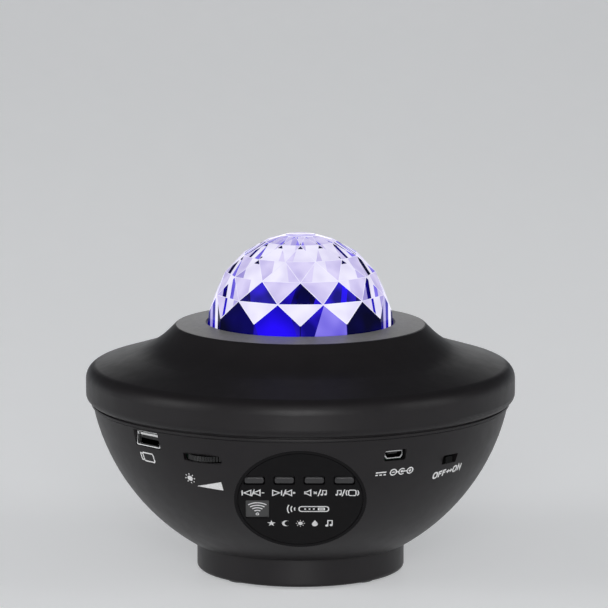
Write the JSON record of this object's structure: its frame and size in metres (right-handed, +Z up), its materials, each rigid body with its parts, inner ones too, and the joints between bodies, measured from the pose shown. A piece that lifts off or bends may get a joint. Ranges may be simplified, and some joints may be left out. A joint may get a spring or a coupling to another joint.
{
  "type": "star night light projector",
  "caption": "Bowl-shaped tabletop night light projector: faceted clear dome over a motor-turned ripple lens and star grating, tilted button panel, speaker pedestal, USB sockets.",
  "frame": {"origin": "on the table surface, under the axis of the bowl and dome", "axes": "+Z up along the dome's axis, -Y towards the control panel, +X to the user's right when facing the panel"},
  "size_m": [0.165, 0.165, 0.1302],
  "materials": {
    "housing_plastic": "moulded, very fine spark texture, dark grey",
    "cover_plastic": "moulded, very fine spark texture, dark grey",
    "foot_rubber": "soft, matt",
    "screw_steel": "zinc-plated",
    "clear_dome": "clear moulded plastic, cut facets",
    "white_deck": "bright reflecting",
    "inner_plastic": "moulded",
    "gear_plastic": "natural acetal",
    "tinted_lens": "moulded with rings",
    "motor_can": "plated can",
    "laser_brass": "turned",
    "grating_film": "film with a fine grating",
    "led_board": "white solder mask on aluminium",
    "led_lens": "clear silicone over phosphor",
    "clear_lens": "clear",
    "heat_sink": "extruded",
    "panel_gloss": "polished piano black",
    "smoked_window": "smoked grey",
    "button_plastic": "satin",
    "circuit_board": "green solder mask",
    "black_component": "moulded epoxy",
    "socket_shell": "nickel-plated",
    "socket_insert": "white",
    "knob_plastic": "black",
    "wheel_plastic": "knurled",
    "basket_steel": "black coated",
    "magnet": "ferrite with plated yoke",
    "surround_rubber": "rolled",
    "cone_paper": "pressed paper",
    "foam_gasket": "closed foam"
  },
  "bodies": {
    "housing": {"bowl_housing": "housing_plastic", "top_cover": "cover_plastic", "pedestal": "housing_plastic", "rubber_feet": "foot_rubber", "pedestal_screws": "screw_steel", "housing_screws": "screw_steel", "dome_lens": "clear_dome", "deck_reflector": "white_deck", "chassis_plate": "inner_plastic", "chassis_screws": "screw_steel", "drive_motor": "motor_can", "motor_screws": "screw_steel", "laser_module": "laser_brass", "led_board": "led_board", "led_emitters": "led_lens", "led_collimator": "clear_lens", "led_screws": "screw_steel", "heat_sink": "heat_sink", "panel_faceplate": "panel_gloss", "receiver_window": "smoked_window", "button_board": "circuit_board", "tact_switches": "black_component", "infrared_receiver": "black_component", "button_board_screws": "screw_steel", "main_board": "circuit_board", "board_chips": "black_component", "board_screws": "screw_steel", "usb_a_shell": "socket_shell", "usb_a_insert": "socket_insert", "micro_usb_shell": "socket_shell", "micro_usb_insert": "black_component", "switch_body": "socket_shell", "wheel_frame": "inner_plastic", "speaker_basket": "basket_steel", "speaker_magnet": "magnet", "speaker_surround": "surround_rubber", "speaker_gasket": "foam_gasket", "speaker_screws": "screw_steel"},
    "ripple": {"ripple_gear": "gear_plastic", "ripple_lens": "tinted_lens"},
    "pinion": {"motor_pinion": "gear_plastic", "motor_shaft": "screw_steel"},
    "grating": {"grating_gear": "gear_plastic", "grating_disc": "grating_film"},
    "brightness": {"brightness_wheel": "wheel_plastic"},
    "power": {"switch_knob": "knob_plastic"},
    "previous": {"button_previous": "button_plastic"},
    "next": {"button_next": "button_plastic"},
    "mute": {"button_mute": "button_plastic"},
    "mode": {"button_mode": "button_plastic"},
    "cone": {"speaker_cone": "cone_paper"}
  },
  "joints": [
    {"name": "ripple_spin", "type": "hinge", "parent": "housing", "child": "ripple", "pos_m": [0, 0, 0.0865], "axis": [0, 0, 1], "continuous": true},
    {"name": "pinion_spin", "type": "hinge", "parent": "housing", "child": "pinion", "pos_m": [0, 0.0232, 0.0865], "axis": [0, 0, 1], "continuous": true},
    {"name": "grating_spin", "type": "hinge", "parent": "housing", "child": "grating", "pos_m": [-0.0248, 0, 0.0865], "axis": [0, 0, 1], "continuous": true},
    {"name": "brightness_turn", "type": "hinge", "parent": "housing", "child": "brightness", "pos_m": [-0.03282, -0.06172, 0.0566], "axis": [0, 0, 1], "range_deg": [0, 270]},
    {"name": "power_slide", "type": "slide", "parent": "housing", "child": "power", "axis": [0.682, 0.7314, 0], "range_m": [0, 0.0032]},
    {"name": "previous_press", "type": "slide", "parent": "housing", "child": "previous", "axis": [0, 0.848, 0.5299], "range_m": [0, 0.0006], "stiffness_N_per_m": 400},
    {"name": "next_press", "type": "slide", "parent": "housing", "child": "next", "axis": [0, 0.848, 0.5299], "range_m": [0, 0.0006], "stiffness_N_per_m": 400},
    {"name": "mute_press", "type": "slide", "parent": "housing", "child": "mute", "axis": [0, 0.848, 0.5299], "range_m": [0, 0.0006], "stiffness_N_per_m": 400},
    {"name": "mode_press", "type": "slide", "parent": "housing", "child": "mode", "axis": [0, 0.848, 0.5299], "range_m": [0, 0.0006], "stiffness_N_per_m": 400},
    {"name": "cone_slide", "type": "slide", "parent": "housing", "child": "cone", "axis": [0, 0, 1], "range_m": [-0.0004, 0.0004], "stiffness_N_per_m": 600}
  ],
  "couplings": [
    {"joint": "pinion_spin", "follows": "ripple_spin", "ratio": -3.1429},
    {"joint": "grating_spin", "follows": "ripple_spin", "ratio": -2.4444}
  ]
}
